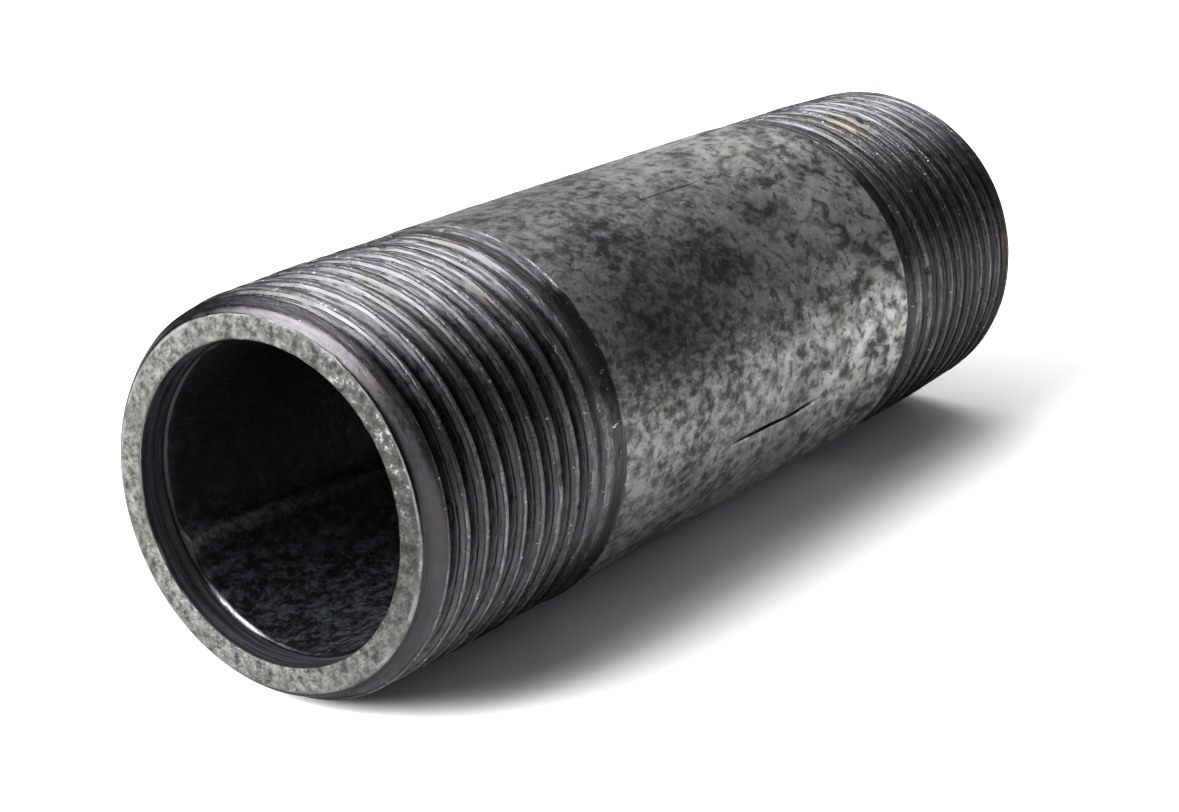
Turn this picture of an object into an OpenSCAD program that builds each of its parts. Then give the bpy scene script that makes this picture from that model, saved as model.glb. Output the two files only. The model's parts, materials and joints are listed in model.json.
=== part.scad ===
// Pipe nipple: a short length of welded steel pipe with a taper thread cut on each end.
// It lies along X, with the origin on its axis at end face A and end face B at +X.

/* [Pipe] */
// Outside diameter of the pipe
pipe_od = 33.7; // [33.4:0.1:34.0]
// Wall thickness of the pipe
wall = 4.0; // [3.2:0.1:4.5]
// Overall length between the end faces
nipple_length = 100; // [75:1:250]

/* [Taper thread] */
// Turns of thread in one inch
threads_per_inch = 11; // [11, 11.5]
// Distance from the end face to the gauge plane
gauge_length = 10.39; // [9.0:0.01:11.0]
// Diameter over the thread crests at the gauge plane
gauge_diameter = 33.249; // [33.1:0.001:33.4]
// Distance from the end face to where the last groove runs out
thread_reach = 23.2; // [20.0:0.1:23.5]
// Turns over which the last groove rises out of the pipe
runout_turns = 1.6; // [1.0:0.1:2.5]
// Distance from the end face to where the die skimmed off the pipe's skin
skim_reach = 24.6; // [24.0:0.1:28.0]
// Depth of that skim under the pipe's skin
skim_depth = 0.2; // [0.18:0.01:0.22]

/* [Ends] */
// Outside diameter of the flat end face
face_diameter = 30.1; // [29.6:0.1:30.6]
// Length of the lead chamfer in front of the first thread
chamfer_length = 1.5; // [1.0:0.1:2.0]
// Depth of the reamed counterbore in each mouth
ream_depth = 2.6; // [1.0:0.1:4.0]
// How far the reamed counterbore is cut into the wall
ream_step = 0.2; // [0.1:0.05:0.4]

/* [Smoothness] */
// Facets in one turn of the thread groove
groove_facets = 32; // [24:4:40]

/* [Hidden] */
$fn = 128;
clear = 1;

pipe_r = pipe_od / 2;
skim_r = pipe_r - skim_depth;
bore_r = pipe_r - wall;
ream_r = bore_r + ream_step;
face_r = face_diameter / 2;
half_length = nipple_length / 2;

// Thread form: 55 degrees between the flanks, cut off by a sixth of the sharp height
// at the crest and at the root, on a cone of 1 in 16 on the diameter.
inch = 25.4;
pitch = inch / threads_per_inch;
half_angle = 27.5;
sharp_height = pitch / (2 * tan(half_angle));
thread_depth = sharp_height * 2 / 3;
root_width = pitch / 6;
cone_slope = 1 / 32;

// Radius of the crest cone at a distance z from the end face, and where it meets the skim
function crest_r(z) = gauge_diameter / 2 + (z - gauge_length) * cone_slope;
cone_end = gauge_length + (skim_r - gauge_diameter / 2) / cone_slope;

// The cutter starts clear of the end face, and stands proud of the crests by less than
// the height at which its turns would touch each other.
groove_start = -0.53 * pitch;
groove_turns = (thread_reach - groove_start) / pitch;
groove_steps = ceil(groove_turns * groove_facets);
cutter_proud = sharp_height / 8;
runout_rise = thread_depth + cutter_proud / 2;

// Height that the groove's root has risen, s turns along the cutter
function rise(s) = runout_rise * max(0, 1 - (groove_turns - s) / runout_turns);

// The four corners of the cutter, s turns along: two on the root and two outside the crest
function corner(r, side, half_width, s) =
    [r * cos(360 * s), r * sin(360 * s), groove_start + s * pitch + side * half_width];
function section(s) =
    let (crest = crest_r(groove_start + s * pitch),
         outer = crest + cutter_proud,
         root = crest - thread_depth + rise(s),
         half_root = root_width / 2,
         half_outer = half_root + (outer - root) * tan(half_angle))
    [corner(root, -1, half_root, s), corner(root, 1, half_root, s),
     corner(outer, 1, half_outer, s), corner(outer, -1, half_outer, s)];

// The outside of one end before its thread is cut, from the middle of the pipe outwards
module end_blank() {
    rotate_extrude()
        polygon([[0, half_length], [pipe_r, half_length], [pipe_r, skim_reach],
                 [skim_r, skim_reach - skim_depth], [skim_r, cone_end],
                 [crest_r(chamfer_length), chamfer_length], [face_r, 0], [0, 0]]);
}

// The helical groove of one end, a right-hand thread that starts off the end face
module groove_cutter() {
    corners = 4;
    points = [for (i = [0:groove_steps]) each section(i * groove_turns / groove_steps)];
    sides = [for (i = [0:groove_steps - 1]) for (j = [0:corners - 1])
        let (a = i * corners + j, b = i * corners + (j + 1) % corners)
        each [[a, a + corners, b], [b, a + corners, b + corners]]];
    last = groove_steps * corners;
    caps = [[0, 1, 2], [0, 2, 3], [last + 2, last + 1, last], [last + 3, last + 2, last]];
    polyhedron(points, concat(sides, caps));
}

// One half of the pipe, with its thread, and its end face on z = 0
module threaded_half() {
    difference() {
        end_blank();
        groove_cutter();
        translate([0, 0, -clear]) cylinder(r = ream_r, h = ream_depth + clear);
    }
}

module pipe_nipple() {
    color([0.44, 0.46, 0.42])
        rotate([0, 90, 0])
            difference() {
                union() {
                    threaded_half();
                    translate([0, 0, nipple_length]) rotate([180, 0, 0]) threaded_half();
                }
                translate([0, 0, -clear]) cylinder(r = bore_r, h = nipple_length + 2 * clear);
            }
}

pipe_nipple();
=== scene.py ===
"""The look of a threaded pipe nipple: cut taper threads on both ends of a zinc-coated welded pipe.

The CAD node gives the size and place. Three closed meshes stand for it, which meet where the die's
skimmed bands meet the coat: threaded end A, the coated barrel and threaded end B.
"""
import json
import math

import bpy
import numpy as np
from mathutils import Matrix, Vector


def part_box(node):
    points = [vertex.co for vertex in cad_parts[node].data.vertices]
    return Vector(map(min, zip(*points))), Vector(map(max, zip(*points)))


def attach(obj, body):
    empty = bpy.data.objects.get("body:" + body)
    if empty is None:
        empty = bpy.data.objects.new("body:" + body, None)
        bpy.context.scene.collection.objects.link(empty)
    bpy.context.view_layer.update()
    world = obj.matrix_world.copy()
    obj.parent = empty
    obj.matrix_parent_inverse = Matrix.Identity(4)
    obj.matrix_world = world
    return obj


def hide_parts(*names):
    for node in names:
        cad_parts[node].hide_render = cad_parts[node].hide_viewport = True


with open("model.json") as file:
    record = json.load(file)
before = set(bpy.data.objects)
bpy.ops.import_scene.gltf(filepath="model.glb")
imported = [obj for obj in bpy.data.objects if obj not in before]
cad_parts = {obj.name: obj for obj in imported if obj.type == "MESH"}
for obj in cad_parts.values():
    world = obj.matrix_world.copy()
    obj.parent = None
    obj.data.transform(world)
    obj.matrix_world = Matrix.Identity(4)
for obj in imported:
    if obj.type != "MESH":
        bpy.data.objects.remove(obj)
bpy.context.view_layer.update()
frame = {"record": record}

MM = 0.001

# Sizes in millimetres. x runs along the pipe from end face A, and phi turns about x from +Y to +Z.
PIPE_LOW, PIPE_HIGH = (Vector(corner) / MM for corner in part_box("pipe_nipple"))
LENGTH = PIPE_HIGH.x - PIPE_LOW.x
PIPE_R = (PIPE_HIGH.z - PIPE_LOW.z) / 2
BORE_R = next(m["dims"]["r_mm"] for m in frame["record"]["mounts"] if m["name"] == "through_bore")
REAM_R = BORE_R + 0.2
REAM_DEPTH, REAM_SLOPE = 2.65, 0.35
SKIM_R = PIPE_R - 0.18
FACE_R = 15.05

# The bore's scale and the coat lie this far inside the CAD's skins, to leave room for their roughness
SCALE_INSET, COAT_INSET = 0.04, 0.05

# The 11-turn taper thread: 55 degree flanks on a cone of 1 in 16 on the diameter.
PITCH = 25.4 / 11
FLANK = math.tan(math.radians(27.5))
THREAD_DEPTH = PITCH / (2 * FLANK) * 2 / 3
ROOT_WIDTH = PITCH / 6
GAUGE_LENGTH, GAUGE_R = 10.39, 33.249 / 2
CONE_SLOPE = 1 / 32
CHAMFER_LENGTH = 1.5

# The last groove rises over this length, and is still this deep where it stops
RUNOUT = 1.5 * PITCH
RUNOUT_DEPTH = 0.35

# Scored lines along the thread: cells across a groove, turns before they repeat, and their heights
LINE_CELLS, LINE_TURNS = 10, 20
FLANK_LINES, LAND_LINES = 0.024, 0.010
CREST_ROUNDING = 0.10

# The weld bead inside the pipe
BEAD_ANGLE = math.radians(-30.0)
BEAD_DRIFT = math.radians(-0.19)
BEAD_HEIGHT, BEAD_WIDTH = 0.8, 1.0

# The painted shade down the sides of each skimmed band, away from the light: its middle, how far it reaches
# either way, its soft edge
BAND_SHADE_MIDDLE, BAND_SHADE_REACH, BAND_SHADE_EDGE = math.radians(222), math.radians(90), 0.15

# Where the reamer's edge has its painted glint, and the end face is chipped and dirty, with half widths in
# mm
GLINT_ANGLE, GLINT_WIDTH = math.radians(-62), 3.8
CHIPPED_ANGLE, CHIPPED_WIDTH = math.radians(138), 9.0
DIRTY_ANGLE, DIRTY_WIDTH = math.radians(172), 17.0

# The two laps rolled into the pipe's skin: place round it and along it, half width and depth
LAPS = (
    {"angle": math.radians(193.8), "x": (40.5, 58.5), "width": 0.16, "depth": 0.30},
    {"angle": math.radians(108.9), "x": (41.0, 58.0), "width": 0.08, "depth": 0.09},
)

# Dark stains on the coat: place along the pipe and round it, and half widths of each
STAINS = (
    {"x": 33.5, "angle": math.radians(153), "along": 7.0, "around": 5.5, "strength": 0.95},
    {"x": 61.0, "angle": math.radians(168), "along": 1.9, "around": 1.5, "strength": 0.9},
    {"x": 35.9, "angle": math.radians(121), "along": 0.7, "around": 0.6, "strength": 1.0},
    {"x": 29.3, "angle": math.radians(96), "along": 1.2, "around": 1.0, "strength": 0.7},
    {"x": 45.0, "angle": math.radians(140), "along": 2.6, "around": 1.4, "strength": 0.6},
    {"x": 55.5, "angle": math.radians(128), "along": 1.6, "around": 1.2, "strength": 0.6},
)

# The mesh: points round the pipe, extra ones at each lap, and the steps between rows
COLUMNS = 360
LAP_COLUMNS = np.linspace(-0.56, 0.56, 15)
SAME_ANGLE = 1e-4
THREAD_STEP, CHAMFER_STEP = 0.128, 0.09
REAM_SLOPE_STEP, REAM_STEP = 0.07, 0.2
BORE_STEP, END_BORE_STEP = 1.4, 2.4
COAT_ROWS = 125

# How much of the skimmed band climbs to the coat
COAT_STEP = 0.4

# Added to the profile mark on top of the skimmed band, where a painted highlight makes it bright
BAND_HIGHLIGHT_MARK = 2.0

# Each end: where its coat starts and its last groove stops, a groove's place at angle 0, its seed
END_A = {"coat_edge": 24.6, "reach": 23.3, "phase": 10.90, "seed": 11}
END_B = {"coat_edge": 26.2, "reach": 25.0, "phase": 10.28, "seed": 47}

# Material slots of each mesh, in the order of its list of finishes
BORE, REAM, FACE, THREAD, COAT = range(5)


# ---------------------------------------------------------------- noise and shape functions

def value_noise(u, v, rows, columns, seed):
    """Smooth noise from -1 to 1 on a table of random values, which closes up along v."""
    table = np.random.default_rng(seed).uniform(-1, 1, (rows, columns))
    i, j = np.floor(u).astype(int), np.floor(v).astype(int)
    f, g = u - i, v - j
    f, g = f * f * (3 - 2 * f), g * g * (3 - 2 * g)
    i, j = np.clip(i, 0, rows - 2), j % columns
    k = (j + 1) % columns
    low = table[i, j] * (1 - g) + table[i, k] * g
    high = table[i + 1, j] * (1 - g) + table[i + 1, k] * g
    return low * (1 - f) + high * f


def lattice(x, phi, cell, around, seed):
    """Noise over the pipe's skin, on cells that are cell mm long with this many round it."""
    rows = int(2 * LENGTH / cell) + 4
    return value_noise(x / cell + 1, phi / math.tau * around, rows, around, seed)


def smooth_min(a, b, width):
    """The lower of two heights, rounded where they cross."""
    h = np.clip(0.5 + (b - a) / (2 * width), 0, 1)
    return b + (a - b) * h - width * h * (1 - h)


def ramp_up(value, low, high):
    """0 below low and 1 above high, smooth between."""
    t = np.clip((value - low) / (high - low), 0, 1)
    return t * t * (3 - 2 * t)


def crest_cone(z):
    """Radius over the thread's crests at z from the end face."""
    return GAUGE_R + (z - GAUGE_LENGTH) * CONE_SLOPE


def scored(across, along, per_turn, seed):
    """Noise drawn out along the thread, with this many cells in each turn."""
    u, v = (across + 0.5) * LINE_CELLS, along * per_turn
    return value_noise(u, v, LINE_CELLS + 2, LINE_TURNS * per_turn, seed)


def thread_radius(z, phi, end):
    """Radius of the threaded skin z from the end face, its depth under the crests, and how far
    each point is from the middle of its groove."""
    turn = (z - end["phase"]) / PITCH - phi / math.tau
    groove = np.round(turn)
    across = turn - groove
    groove_z = z - across * PITCH
    rise = np.clip((groove_z - end["reach"] + RUNOUT) / RUNOUT, 0, 1) * (THREAD_DEPTH - RUNOUT_DEPTH)
    stopped = ramp_up(groove_z, end["reach"], end["reach"] + 0.03) * 0.5
    root = crest_cone(groove_z) - THREAD_DEPTH + rise + stopped
    profile = np.abs(across) * PITCH
    flank = root + np.clip(profile - ROOT_WIDTH / 2, 0, None) / FLANK
    along = groove + phi / math.tau
    lines = scored(across, along, 14, end["seed"]) + 0.6 * scored(across, along, 60, end["seed"] + 5)
    land = np.minimum(crest_cone(z), SKIM_R) - torn(z, phi, end)
    radius = smooth_min(flank + FLANK_LINES * lines, land + LAND_LINES * lines, CREST_ROUNDING)
    return radius, np.clip(land - radius, 0, None), profile


def torn(z, phi, end):
    """Depth of the torn and nicked places on the crests, which get worse towards the run-out."""
    seed = end["seed"]
    worse = 0.35 + 0.65 * ramp_up(z, 6, 20)
    patches = ramp_up(lattice(z, phi, 3.1, 14, seed + 1), -0.3, 0.6)
    tears = ramp_up(lattice(z, phi, 0.6, 128, seed + 2), 0.1, 0.9) * 0.11 * patches * worse
    nicks = ramp_up(lattice(z, phi, 1.3, 90, seed + 3), 0.80, 0.97) * 0.2
    chatter = 0.014 * lattice(z, phi, 0.9, 120, seed + 4)
    return tears + nicks + chatter


def end_wear(phi, seed, size):
    """Small burrs and dents along a turned edge."""
    still = np.zeros_like(phi)
    fine = lattice(still, phi, 1, 160, seed)
    coarse = lattice(still, phi, 1, 24, seed + 1)
    return size * (0.6 * fine * ramp_up(coarse, -0.4, 0.6) + 0.4 * coarse)


def bead(x, phi):
    """Height of the weld bead inside the pipe."""
    angle = BEAD_ANGLE + BEAD_DRIFT * x
    across = ((phi - angle + math.pi) % math.tau - math.pi) * BORE_R
    lumps = 0.75 + 0.25 * lattice(x, phi * 0, 2.2, 4, 5) + 0.12 * lattice(x, phi, 0.9, 60, 6)
    return BEAD_HEIGHT * lumps * np.exp(-((across / BEAD_WIDTH) ** 2))


def bore_radius(x, phi):
    """The pipe's inside: scale, a shallow waviness and the weld bead."""
    rough = 0.05 * lattice(x, phi, 1.6, 52, 71) + 0.03 * lattice(x, phi, 0.6, 130, 72)
    return BORE_R - SCALE_INSET + rough - bead(x, phi)


def in_frame(z, phi, end):
    """Points of one end as distances along the whole pipe and angles about it."""
    return (z, phi) if end is END_A else (LENGTH - z, math.pi - phi)


def beside(phi, angle):
    """Distance round the pipe's skin from an angle, in mm."""
    return ((phi - angle + math.pi) % math.tau - math.pi) * PIPE_R


def coat_radius(x, phi):
    """The coated barrel: slow waviness, runs in the zinc and the two laps. Also a lap's depth."""
    waves = 0.02 * lattice(x, phi, 9, 9, 81)
    skin = PIPE_R - COAT_INSET + waves + 0.018 * lattice(x, phi, 1.5, 64, 82)
    depth = np.zeros_like(skin)
    for number, lap in enumerate(LAPS):
        start, stop = lap["x"]
        wander = 0.18 * lattice(x, phi * 0, 4, 4, 90 + number)
        along = ramp_up(x, start, start + 5) * (1 - ramp_up(x, stop - 6, stop))
        uneven = 0.75 + 0.35 * lattice(x, phi * 0, 1.7, 4, 95 + number)
        across = (beside(phi, lap["angle"]) - wander) / lap["width"]
        depth += lap["depth"] * along * uneven * np.exp(-across * across)
    return skin - depth, depth


def stain(x, phi):
    """How dark the coat is stained, from 0 to 1."""
    dark = np.zeros_like(x)
    for spot in STAINS:
        away = ((x - spot["x"]) / spot["along"]) ** 2
        away = away + (beside(phi, spot["angle"]) / spot["around"]) ** 2
        dark = np.maximum(dark, spot["strength"] * np.exp(-away))
    return dark


def ragged_edge(place, phi):
    """Where the coat's edge runs, round the pipe."""
    level = place + phi * 0
    return place + 0.13 * lattice(level, phi, 5, 60, 101) + 0.12 * lattice(level, phi, 5, 11, 102)


# ---------------------------------------------------------------- meshes

def rows_of(start, stop, step):
    """Even distances from start to stop, as near to this step as they come."""
    return np.linspace(start, stop, max(2, int(round(abs(stop - start) / step)) + 1))


def column_angles():
    """Angles round the pipe, closer together at each lap. All the pieces share them."""
    even = np.arange(COLUMNS) * math.tau / COLUMNS
    close = [lap["angle"] + LAP_COLUMNS / PIPE_R for lap in LAPS]
    angles = np.sort(np.concatenate([even, *close]) % math.tau)
    return angles[np.insert(np.diff(angles) > SAME_ANGLE, 0, True)]


class Shell:
    """Rows of points round the pipe, each row a full turn, that close up into one solid.

    The marks are values at each point for the materials to read:
    depth    depth under the crests or the skin, height of the bead, painted glint on the reamer's edge, dirt on the face
    stain    stains on the coat, painted shade down the sides of the band, painted shade on the reamer's edge away from its glint, painted highlight on the face's rim
    profile  distance from the middle of the groove, plus the painted highlight on top of the band, chipped
    part of the face cut_rows holds the rows on either side of each hidden cut face, where two pieces meet.
    """

    MARKS = ("depth", "stain", "profile")

    def __init__(self, angles):
        self.phi = angles
        self.rows = {key: [] for key in ("x", "r", *self.MARKS)}
        self.slots = []
        self.cut_rows = [0, -1]

    def add(self, slot, x, r, **marks):
        """Adds rows with one material. A mark that isn't given is 0."""
        given = {"x": x, "r": r, **marks}
        for key, kept in self.rows.items():
            kept.append(given.get(key, 0.0) + x * 0)
        self.slots += [slot] * len(x)

    def grid(self, rows):
        """The distance along and the angle of each point, for the shape functions."""
        return np.meshgrid(rows, self.phi, indexing="ij")

    def build(self, name, flip):
        """Makes the mesh. flip turns the shell end for end about the middle of the pipe."""
        x, r = np.concatenate(self.rows["x"]), np.concatenate(self.rows["r"])
        along, turn = (LENGTH - x, -1) if flip else (x, 1)
        points = np.stack([along, turn * r * np.cos(self.phi), r * np.sin(self.phi)], axis=-1)
        rows, columns = x.shape
        index = np.arange(rows * columns).reshape(rows, columns)
        below = np.roll(index, -1, axis=0)
        corners = [index, np.roll(index, -1, axis=1), np.roll(below, -1, axis=1), below]
        mesh = bpy.data.meshes.new(name)
        faces = np.stack(corners, axis=-1).reshape(-1, 4).tolist()
        mesh.from_pydata((points.reshape(-1, 3) * MM).tolist(), [], faces)
        mesh.polygons.foreach_set("use_smooth", np.ones(rows * columns, bool))
        mesh.polygons.foreach_set("material_index", np.repeat(self.slots, columns).astype(np.int32))
        for key in self.MARKS:
            mark = mesh.attributes.new(key, "FLOAT", "POINT")
            mark.data.foreach_set("value", np.concatenate(self.rows[key]).ravel().astype(np.float32))
        sharpen(mesh, columns, [row % rows for row in self.cut_rows])
        return mesh


def sharpen(mesh, columns, rows):
    """Marks the edges along these rows as sharp, so that the hidden cut doesn't bend the shading."""
    ends = np.empty(len(mesh.edges) * 2, np.int32)
    mesh.edges.foreach_get("vertices", ends)
    row = ends.reshape(-1, 2) // columns
    sharp = (row[:, 0] == row[:, 1]) & np.isin(row[:, 0], rows)
    mesh.attributes.new("sharp_edge", "BOOLEAN", "EDGE").data.foreach_set("value", sharp)


def threaded_end(end, angles):
    """One end of the pipe, from the cut inside, out through the mouth and back over the thread."""
    shell, edge = Shell(angles), end["coat_edge"]
    z, phi = shell.grid(rows_of(edge, REAM_DEPTH + 0.9, END_BORE_STEP))
    place = in_frame(z, phi, end)
    shell.add(BORE, z, bore_radius(*place), depth=bead(*place))
    reamed_mouth(shell, end)
    turned_face(shell, end["seed"])
    lead_chamfer(shell, end)
    z, phi = shell.grid(rows_of(CHAMFER_LENGTH + 0.1, edge - COAT_STEP, THREAD_STEP))
    radius, depth, profile = thread_radius(z, phi, end)
    # Painted light and shade on the skimmed band: dark down the sides away from the light, bright on top
    band, band_shade = ramp_up(z, end["reach"] - 1.0, end["reach"]), painted_band_shade(phi, end)
    profile = profile + BAND_HIGHLIGHT_MARK * band * (1 - band_shade)
    shell.add(THREAD, z, radius, depth=depth, stain=band * band_shade, profile=profile)
    x, radius = coat_step(shell, end)
    band_shade = painted_band_shade(shell.phi + x * 0, end)
    shell.add(THREAD, x, radius, stain=band_shade, profile=BAND_HIGHLIGHT_MARK * (1 - band_shade))
    return shell


def painted_band_shade(phi, end):
    """Painted shade on the skimmed band, round the pipe: none on top where the light falls, dark down both
    sides away from it.
    """
    around = in_frame(0, phi, end)[1]
    away = np.abs((around - BAND_SHADE_MIDDLE + math.pi) % math.tau - math.pi)
    return 1 - ramp_up(away, BAND_SHADE_REACH, BAND_SHADE_REACH + BAND_SHADE_EDGE)


def reamed_mouth(shell, end):
    """The step from the pipe's inside out to the reamed wall, and that wall with its tool rings."""
    z, phi = shell.grid(rows_of(REAM_DEPTH + REAM_SLOPE, REAM_DEPTH, REAM_SLOPE_STEP))
    step = 1 - ramp_up(z, REAM_DEPTH, REAM_DEPTH + REAM_SLOPE)
    inside = bore_radius(*in_frame(z, phi, end))
    # A painted glint on the reamer's edge on one side, and painted shade on the rest of the edge through
    # the stain mark
    painted_glint = np.exp(-((beside(phi, GLINT_ANGLE) / GLINT_WIDTH) ** 2))
    shell.add(REAM, z, inside + (REAM_R - inside) * step, depth=step * painted_glint, stain=1 - painted_glint)
    z, phi = shell.grid(rows_of(REAM_DEPTH - REAM_STEP, 0.15, REAM_STEP))
    rings = 0.014 * lattice(z, phi, 0.3, 3, end["seed"] + 20)
    shell.add(REAM, z, REAM_R + rings - 0.3 * bead(*in_frame(z, phi, end)))


def turned_face(shell, seed):
    """The flat end face, broken at the mouth, chipped on one side, with a burr round the outside."""
    width = FACE_R - REAM_R
    inner, even, outer = (0.02, 0.08, 0.18), np.linspace(0.3, width - 0.2, 8), (width - 0.08, width)
    out, phi = shell.grid(np.array([*inner, *even, *outer]))
    broken = 0.07 * (1 - ramp_up(out, 0, 0.12)) + 0.04 * ramp_up(out, width - 0.1, width)
    chipped = np.exp(-((beside(phi, CHIPPED_ANGLE) / CHIPPED_WIDTH) ** 2))
    dirty = np.exp(-((beside(phi, DIRTY_ANGLE) / DIRTY_WIDTH) ** 2))
    marks = (0.014 + 0.07 * chipped) * np.abs(lattice(out, phi, 0.25, 110, seed + 31))
    burr = end_wear(phi, seed + 32, 0.09) * ramp_up(out, width - 0.35, width)
    chips = end_wear(phi, seed + 34, 0.09) * (1 - ramp_up(out, 0.05, 0.5))
    # rim marks the face's outer edge for a painted highlight
    rim = ramp_up(out, width - 0.25, width - 0.05)
    shell.add(FACE, broken + marks + 0.4 * np.abs(burr), REAM_R + out + chips + burr,
              stain=rim, profile=chipped, depth=dirty)


def lead_chamfer(shell, end):
    """The lead chamfer: a narrow step behind the face, then the cone up to the first crest."""
    z, phi = shell.grid(rows_of(0.14, CHAMFER_LENGTH, CHAMFER_STEP))
    cone = FACE_R + (crest_cone(CHAMFER_LENGTH) - FACE_R) * z / CHAMFER_LENGTH
    step = 0.1 * (ramp_up(z, 0.18, 0.32) - ramp_up(z, 0.45, 0.6))
    turned = cone + step + 0.008 * lattice(z, phi, 0.12, 5, end["seed"] + 40)
    radius = smooth_min(turned, thread_radius(z, phi, end)[0], 0.05)
    shell.add(THREAD, z, radius, depth=0.2 + np.clip(turned - radius, 0, None), stain=0.8)


def coat_step(shell, end):
    """The last rows of the skimmed band, which climb to the coat's ragged edge."""
    part, phi = shell.grid(np.array([0.25, 0.5, 0.75, 1.0]))
    place, around = in_frame(end["coat_edge"], phi, end)
    edge = ragged_edge(place, around)
    reach, _ = in_frame(edge, phi, end)
    start = end["coat_edge"] - COAT_STEP
    coat, _ = coat_radius(edge, around)
    skim = thread_radius(start + phi * 0, phi, end)[0]
    return start + (reach - start) * part, skim + (coat - 0.02 - skim) * part ** 3


def coated_barrel(angles):
    """The plain pipe between the two ragged coat edges."""
    shell = Shell(angles)
    start, stop = END_A["coat_edge"], LENGTH - END_B["coat_edge"]
    x, phi = shell.grid(rows_of(stop, start, BORE_STEP))
    shell.add(BORE, x, bore_radius(x, phi), depth=bead(x, phi))
    shell.cut_rows += [len(x) - 1, len(x)]
    part, phi = shell.grid(np.linspace(0, 1, COAT_ROWS))
    low, high = ragged_edge(start, phi), ragged_edge(stop, phi)
    x = low + (high - low) * part
    radius, depth = coat_radius(x, phi)
    rim = 1 - ramp_up(np.minimum(x - low, high - x), 0, 0.4)
    shell.add(COAT, x, radius - 0.02 * rim, depth=depth, stain=stain(x, phi))
    return shell


# ---------------------------------------------------------------- shader helpers

def feed(tree, socket, value):
    """Links another node's output to this input, or sets the input to a value."""
    if isinstance(value, bpy.types.NodeSocket):
        tree.links.new(value, socket)
    else:
        socket.default_value = value


def add_node(tree, kind, inputs=(), **settings):
    """A node with its settings, and its inputs given by name or place as a value or a socket."""
    made = tree.nodes.new(kind)
    for key, value in settings.items():
        setattr(made, key, value)
    for key, value in dict(inputs).items():
        feed(tree, made.inputs[key], value)
    return made


def noise(tree, size, detail=4.0, roughness=0.6, distortion=0.0, turn=(0, 0, 0)):
    """Noise with cells of this size in mm along x, y and z, turned by these angles."""
    at = add_node(tree, "ShaderNodeTexCoord").outputs["Object"]
    placed = {"Vector": at, "Rotation": turn, "Scale": tuple(side * MM for side in size)}
    at = add_node(tree, "ShaderNodeMapping", placed, vector_type="TEXTURE").outputs["Vector"]
    wanted = {"Vector": at, "Scale": 1.0, "Detail": detail, "Roughness": roughness}
    wanted["Distortion"] = distortion
    return add_node(tree, "ShaderNodeTexNoise", wanted).outputs["Fac"]


def object_axis(tree, axis):
    """The point's X, Y or Z in mm. X runs along the pipe."""
    at = add_node(tree, "ShaderNodeTexCoord").outputs["Object"]
    part = add_node(tree, "ShaderNodeSeparateXYZ", {"Vector": at}).outputs[axis]
    return maths(tree, "DIVIDE", part, MM)


def curve(tree, value, low, high, out_low=0.0, out_high=1.0):
    """value from low..high to out_low..out_high, smooth and clamped."""
    wanted = {"Value": value, "From Min": low, "From Max": high, "To Min": out_low, "To Max": out_high}
    return add_node(tree, "ShaderNodeMapRange", wanted, interpolation_type="SMOOTHSTEP").outputs["Result"]


def maths(tree, operation, a, b):
    return add_node(tree, "ShaderNodeMath", {0: a, 1: b}, operation=operation).outputs[0]


def plus(tree, a, b):
    return maths(tree, "ADD", a, b)


def minus(tree, a, b):
    return maths(tree, "SUBTRACT", a, b)


def times(tree, a, b):
    return maths(tree, "MULTIPLY", a, b)


def blend_colour(tree, factor, a, b, mode="MIX"):
    """Colour a where the factor is 0 and b where it is 1, each a socket or three numbers."""
    made = add_node(tree, "ShaderNodeMix", {"Factor": factor}, data_type="RGBA", blend_type=mode)
    for place, value in ((6, a), (7, b)):
        feed(tree, made.inputs[place], value if isinstance(value, bpy.types.NodeSocket) else (*value, 1))
    return made.outputs[2]


def mixed(tree, factor, a, b):
    """Number a where the factor is 0 and b where it is 1."""
    return add_node(tree, "ShaderNodeMix", {"Factor": factor, 2: a, 3: b}).outputs[0]


def attribute(tree, label):
    """One of the shell's marks."""
    return add_node(tree, "ShaderNodeAttribute", attribute_name=label).outputs["Fac"]


def bump(tree, height, distance, strength):
    """The normal of a skin that rises by this height times a distance in mm."""
    wanted = {"Height": height, "Distance": distance * MM, "Strength": strength}
    return add_node(tree, "ShaderNodeBump", wanted).outputs["Normal"]


def new_material(name):
    """An empty node material, its tree and its Principled shader."""
    material = bpy.data.materials.new(name)
    material.use_nodes = True
    tree = material.node_tree
    return material, tree, tree.nodes["Principled BSDF"]


def connect(tree, shader, **sockets):
    """Feeds the shader's inputs, with Base_Color for the one called "Base Color"."""
    for name, value in sockets.items():
        feed(tree, shader.inputs[name.replace("_", " ")], value)


# ---------------------------------------------------------------- materials

# Tint of a metal's reflection at a grazing angle: oily and dusty, so not white
DULL_EDGE = (0.45, 0.45, 0.45, 1)


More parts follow.
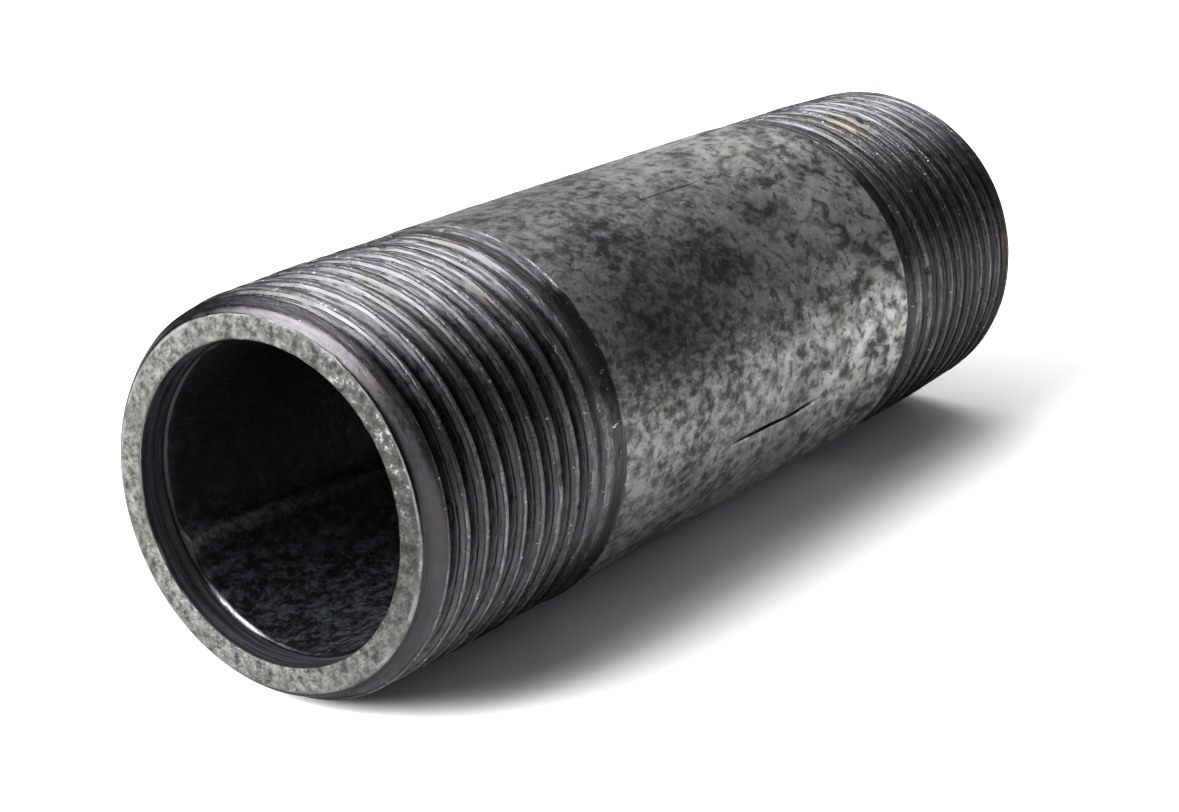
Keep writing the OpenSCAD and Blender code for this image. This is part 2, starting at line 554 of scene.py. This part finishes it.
def zinc_coat():
    """Mottled zinc: fine and dull near end A, with larger and paler flecks towards end B, and painted shade
    in the laps.
    """
    material, tree, shader = new_material("zinc_coat")
    oblique = (math.radians(-40), math.radians(15), math.radians(20))
    fine = noise(tree, (1.3, 1.0, 1.0), 8.0, 0.68, 0.2)
    coarse = noise(tree, (3.4, 2.0, 2.0), 8.0, 0.62, 0.4, oblique)
    spots = noise(tree, (1.2, 1.1, 1.1), 5.0, 0.62, 0.2)
    clouds = noise(tree, (8, 5, 5), 3.0, 0.5)
    tints = noise(tree, (3, 3, 3), 4.0, 0.6)
    far = curve(tree, object_axis(tree, "X"), 36.0, 68.0)
    tone = mixed(tree, far, curve(tree, fine, 0.34, 0.66), curve(tree, coarse, 0.36, 0.62))
    level = plus(tree, tone, times(tree, minus(tree, clouds, 0.5), 1.4))
    dull = blend_colour(tree, level, (0.034, 0.034, 0.036), (0.200, 0.203, 0.205))
    pale = blend_colour(tree, level, (0.047, 0.048, 0.047), (0.36, 0.364, 0.355))
    colour = blend_colour(tree, far, dull, pale)
    colour = blend_colour(tree, curve(tree, spots, 0.54, 0.62, 0.0, 0.75), colour, (0.034, 0.034, 0.034))
    colour = blend_colour(tree, curve(tree, tints, 0.45, 0.65), colour, (1.0, 0.995, 0.90), "MULTIPLY")
    stained = times(tree, attribute(tree, "stain"), curve(tree, fine, 0.35, 0.6, 1.0, 0.6))
    colour = blend_colour(tree, stained, colour, (0.018, 0.019, 0.014))
    # Painted shade: the laps are painted near-black, the deeper the darker
    lap = curve(tree, attribute(tree, "depth"), 0.02, 0.12)
    colour = blend_colour(tree, lap, colour, (0.003, 0.003, 0.003))
    runs = noise(tree, (2.4, 1.1, 1.1), 3.0, 0.5, 0.2, oblique)
    height = plus(tree, runs, times(tree, tone, 0.12))
    connect(tree, shader, Base_Color=colour, Metallic=0.85, Specular_Tint=DULL_EDGE,
            Roughness=curve(tree, tone, 0.0, 1.0, 0.50, 0.36), Normal=bump(tree, height, 0.20, 0.7))
    return material


def scored_line(tree, profile, place, half_width):
    """1 on a line cut along the thread at this distance from the middle of its groove."""
    away = maths(tree, "ABSOLUTE", minus(tree, profile, place), 0.0)
    return curve(tree, away, half_width * 0.3, half_width, 1.0, 0.0)


def thread_scores(tree, profile, lines):
    """Two lines cut along each flank, that come and go."""
    low, high = scored_line(tree, profile, 0.66, 0.06), scored_line(tree, profile, 0.90, 0.05)
    return times(tree, maths(tree, "MAXIMUM", low, high), curve(tree, lines, 0.36, 0.60))


def thread_flank(tree, streaks, clouds, skim):
    """Colour of the flanks: violet-grey steel, olive in patches, and darker on the skimmed band as painted
    shade down its sides.
    """
    flank = blend_colour(tree, streaks, (0.018, 0.0178, 0.0195), (0.054, 0.053, 0.058))
    flank = blend_colour(tree, curve(tree, clouds, 0.50, 0.64, 0.0, 0.6), flank, (0.030, 0.029, 0.022))
    return blend_colour(tree, times(tree, skim, 0.85), flank, (0.028, 0.0255, 0.028))


def thread_crest(tree, depth, skim, grain, clouds):
    """1 on the worn crests, which the grain breaks up and which are fainter in patches."""
    broken = times(tree, minus(tree, grain, 0.5), 0.7)
    crest = curve(tree, plus(tree, depth, broken), -0.04, 0.12, 1.0, 0.0)
    # Crests fade in the skimmed band's painted shade
    crest = times(tree, crest, curve(tree, skim, 0.0, 1.0, 1.0, 0.2))
    return times(tree, crest, curve(tree, clouds, 0.42, 0.58, 1.0, 0.35))


def cut_thread():
    """Cut steel: scored flanks, thin worn crests with ticks and painted glints, painted shade deep in the
    grooves, and a band painted bright on top as a highlight.
    """
    material, tree, shader = new_material("cut_thread")
    lines = noise(tree, (0.24, 3.5, 3.5), 4.0, 0.65)
    ticks = noise(tree, (1.2, 0.28, 0.28), 3.0, 0.6)
    grain = noise(tree, (0.4, 1.0, 1.0), 6.0, 0.72)
    clouds = noise(tree, (5, 8, 8), 3.0, 0.5)
    depth, skim = attribute(tree, "depth"), attribute(tree, "stain")
    wander = times(tree, minus(tree, clouds, 0.5), 0.25)
    profile = plus(tree, attribute(tree, "profile"), wander)
    scores = thread_scores(tree, profile, lines)
    streaks = plus(tree, times(tree, lines, 0.5), times(tree, grain, 0.5))
    streaks = curve(tree, streaks, 0.34, 0.66)
    worn = blend_colour(tree, streaks, (0.08, 0.08, 0.084), (0.21, 0.21, 0.216))
    crest = thread_crest(tree, depth, skim, grain, clouds)
    colour = blend_colour(tree, crest, thread_flank(tree, streaks, clouds, skim), worn)
    # Painted highlight: the top of the skimmed band is painted bright
    band_highlight = times(tree, curve(tree, profile, 1.4, 2.2), curve(tree, streaks, 0.2, 0.8, 0.2, 1.0))
    colour = blend_colour(tree, band_highlight, colour, (0.22, 0.22, 0.23))
    # Painted shade: the flanks darken towards the bottom of each groove, where the ridge before it shades
    # them
    colour = blend_colour(tree, curve(tree, depth, 0.5, 1.2, 0.0, 0.45), colour, (0.020, 0.018, 0.018))
    colour = blend_colour(tree, times(tree, scores, 0.6), colour, (0.010, 0.009, 0.009))
    colour = blend_colour(tree, curve(tree, clouds, 0.64, 0.76, 0.0, 0.18), colour, (0.20, 0.12, 0.075))
    # Painted highlight: small bright glints painted on the crests
    crest_glints = times(tree, curve(tree, ticks, 0.66, 0.72), curve(tree, depth, 0.3, 0.05))
    colour = blend_colour(tree, times(tree, crest_glints, 0.7), colour, (0.50, 0.50, 0.50))
    height = plus(tree, lines, times(tree, ticks, times(tree, crest, 1.4)))
    height = plus(tree, height, times(tree, grain, 0.5))
    height = minus(tree, height, scores)
    connect(tree, shader, Base_Color=colour, Metallic=0.95, Specular_IOR_Level=0.1, Specular_Tint=DULL_EDGE,
            Roughness=curve(tree, grain, 0.3, 0.7, 0.24, 0.40), Normal=bump(tree, height, 0.06, 0.8))
    return material


def turned_face_steel():
    """The end face: pale uncoated steel, speckled and duller in patches, dirty on one side, with a painted
    highlight round its rim.
    """
    material, tree, shader = new_material("turned_face")
    pits = noise(tree, (1.0, 0.85, 0.85), 8.0, 0.75)
    scratches = noise(tree, (1.0, 0.15, 2.2), 3.0, 0.6, 0.0, (math.radians(50), 0, 0))
    clouds = noise(tree, (3.5, 3.5, 3.5), 3.0, 0.55)
    speckle = plus(tree, times(tree, pits, 0.88), times(tree, scratches, 0.12))
    speckle = curve(tree, speckle, 0.38, 0.62)
    colour = blend_colour(tree, speckle, (0.026, 0.0255, 0.022), (0.138, 0.138, 0.130))
    colour = blend_colour(tree, curve(tree, clouds, 0.45, 0.66, 0.0, 0.5), colour, (0.055, 0.054, 0.047))
    chipped = attribute(tree, "profile")
    dirt = times(tree, attribute(tree, "depth"), curve(tree, clouds, 0.35, 0.65, 0.95, 0.55))
    colour = blend_colour(tree, dirt, colour, (0.012, 0.0115, 0.010))
    flecks = times(tree, curve(tree, pits, 0.56, 0.62), chipped)
    # Painted highlight along the face's outer rim; the flecks are where it is chipped
    rim = times(tree, attribute(tree, "stain"), curve(tree, clouds, 0.42, 0.56, 0.5, 0.1))
    colour = blend_colour(tree, maths(tree, "MAXIMUM", flecks, rim), colour, (0.22, 0.22, 0.22))
    height = plus(tree, times(tree, pits, 1.6), times(tree, scratches, 0.5))
    connect(tree, shader, Base_Color=colour, Metallic=0.85, Specular_IOR_Level=0.1, Specular_Tint=DULL_EDGE,
            Roughness=curve(tree, pits, 0.3, 0.7, 0.55, 0.40), Normal=bump(tree, height, 0.16, 0.8))
    return material


def reamed_steel():
    """The reamed mouth: dark steel with fine rings, and a painted glint on one side of the edge where the
    reamer stopped, with painted shade on the rest of that edge.
    """
    material, tree, shader = new_material("reamed_steel")
    rings = noise(tree, (0.35, 12.0, 12.0), 3.0, 0.6)
    grain = noise(tree, (0.5, 0.5, 0.5), 4.0, 0.6)
    # painted_glint is a painted highlight on the edge, and dull is painted shade on the rest of it
    painted_glint = times(tree, curve(tree, attribute(tree, "depth"), 0.20, 0.8), curve(tree, grain, 0.35, 0.6))
    dull = curve(tree, attribute(tree, "stain"), 0.1, 0.9)
    colour = blend_colour(tree, grain, (0.06, 0.06, 0.068), (0.14, 0.14, 0.16))
    colour = blend_colour(tree, curve(tree, rings, 0.45, 0.60, 0.0, 0.6), colour, (0.22, 0.22, 0.245))
    colour = blend_colour(tree, dull, colour, (0.018, 0.018, 0.020))
    colour = blend_colour(tree, painted_glint, colour, (0.42, 0.46, 0.54))
    height = plus(tree, rings, grain)
    connect(tree, shader, Base_Color=colour, Metallic=0.9, Specular_IOR_Level=0.1, Specular_Tint=DULL_EDGE,
            Roughness=curve(tree, rings, 0.3, 0.7, 0.24, 0.42), Normal=bump(tree, height, 0.07, 0.8))
    return material


def bore_scale():
    """The inside of the pipe: scale painted near-black as shade, blue-grey blotches only low down as
    painted light, and a paler weld bead.
    """
    material, tree, shader = new_material("bore_scale")
    blotch = noise(tree, (1.8, 1.0, 1.0), 7.0, 0.68, 0.3)
    grain = noise(tree, (0.6, 0.5, 0.5), 5.0, 0.70)
    mottle = plus(tree, times(tree, blotch, 0.6), times(tree, grain, 0.4))
    # Painted light and shade: the blotches show only towards the bottom of the bore, and above them it is
    # painted near-black
    low = curve(tree, object_axis(tree, "Z"), -8.0, 0.0, 1.0, 0.22)
    blotches = times(tree, curve(tree, mottle, 0.44, 0.62), low)
    colour = blend_colour(tree, blotches, (0.004, 0.0045, 0.0045), (0.040, 0.045, 0.054))
    raised = curve(tree, attribute(tree, "depth"), 0.25, 0.6)
    seam = times(tree, raised, curve(tree, grain, 0.4, 0.6, 0.1, 0.9))
    colour = blend_colour(tree, seam, colour, (0.07, 0.074, 0.078))
    height = plus(tree, blotch, grain)
    connect(tree, shader, Base_Color=colour, Metallic=0.5,
            Roughness=curve(tree, grain, 0.3, 0.7, 0.28, 0.50), Normal=bump(tree, height, 0.14, 0.9))
    return material


# ---------------------------------------------------------------- stage, lights and camera

STAGE_Z = -PIPE_R * MM


def floor_material():
    """A pale matt floor with a trace of unevenness."""
    material, tree, shader = new_material("pale_floor")
    tone = noise(tree, (250, 250, 250), 2.0)
    colour = blend_colour(tree, tone, (0.90, 0.90, 0.90), (0.93, 0.93, 0.93))
    connect(tree, shader, Base_Color=colour, Roughness=0.8)
    return material


def make_floor():
    """A large round floor under the pipe."""
    corners, radius = 96, 0.8
    turns = np.arange(corners) * math.tau / corners
    ring = [(radius * math.cos(turn), radius * math.sin(turn), STAGE_Z) for turn in turns]
    mesh = bpy.data.meshes.new("floor")
    mesh.from_pydata(ring, [], [list(range(corners))])
    mesh.materials.append(floor_material())
    floor = bpy.data.objects.new("floor", mesh)
    bpy.context.collection.objects.link(floor)


def aim(thing, place, target):
    """Puts a lamp or camera at a place and points its -Z at the target, with +Y up."""
    thing.location = place
    thing.rotation_euler = (Vector(target) - Vector(place)).to_track_quat("-Z", "Y").to_euler()


def softbox(name, place, size, power):
    """An area lamp aimed at the middle of the pipe."""
    lamp = bpy.data.lights.new(name, "AREA")
    lamp.shape, (lamp.size, lamp.size_y) = "RECTANGLE", size
    lamp.energy = power
    made = bpy.data.objects.new(name, lamp)
    bpy.context.collection.objects.link(made)
    aim(made, place, (LENGTH / 2 * MM, 0, 0))


def make_lights():
    """Three soft boxes, the left one for the glint in the mouth, and a dim blue-white world."""
    softbox("overhead_softbox", place=(0.15, 0.45, 1.3), size=(2.0, 1.6), power=26)
    softbox("back_softbox", place=(1.1, 0.75, 0.55), size=(1.0, 0.7), power=2.2)
    softbox("left_softbox", place=(-0.9, 0.45, 0.65), size=(0.9, 0.8), power=70)
    world = bpy.data.worlds.new("studio")
    bpy.context.scene.world = world
    world.use_nodes = True
    connect(world.node_tree, world.node_tree.nodes["Background"], Color=(0.9, 0.95, 1.0, 1), Strength=0.24)


def make_camera():
    """Looks along the pipe from its near end, from the left and a little above."""
    lens, sensor = 72.4, 36.0
    place = Vector((-125.5, -115.1, 63.9)) * MM
    forward = Vector((0.78513, 0.53343, -0.31466))
    camera = bpy.data.cameras.new("camera")
    camera.lens, camera.sensor_width = lens, sensor
    camera.clip_start, camera.clip_end = 0.01, 50
    made = bpy.data.objects.new("camera", camera)
    bpy.context.collection.objects.link(made)
    aim(made, place, place + forward)
    bpy.context.scene.camera = made


# ---------------------------------------------------------------- the model

def make_piece(name, shell, finishes, flip=False):
    """Makes one piece of the pipe from its shell and ties it to the frame."""
    mesh = shell.build(name, flip)
    for material in finishes:
        mesh.materials.append(material)
    piece = bpy.data.objects.new(name, mesh)
    bpy.context.collection.objects.link(piece)
    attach(piece, "root")
    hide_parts("pipe_nipple")


make_camera()
make_lights()
make_floor()
finishes = [bore_scale(), reamed_steel(), turned_face_steel(), cut_thread(), zinc_coat()]
angles = column_angles()
make_piece("threaded_end_a", threaded_end(END_A, angles), finishes)
make_piece("coated_barrel", coated_barrel(angles), finishes)

# End B is built as end A is and turned end for end, so its angles are mirrored to meet the barrel's
mirrored = np.sort((math.pi - angles) % math.tau)
make_piece("threaded_end_b", threaded_end(END_B, mirrored), finishes, flip=True)
bpy.context.scene.view_settings.view_transform = "Standard"
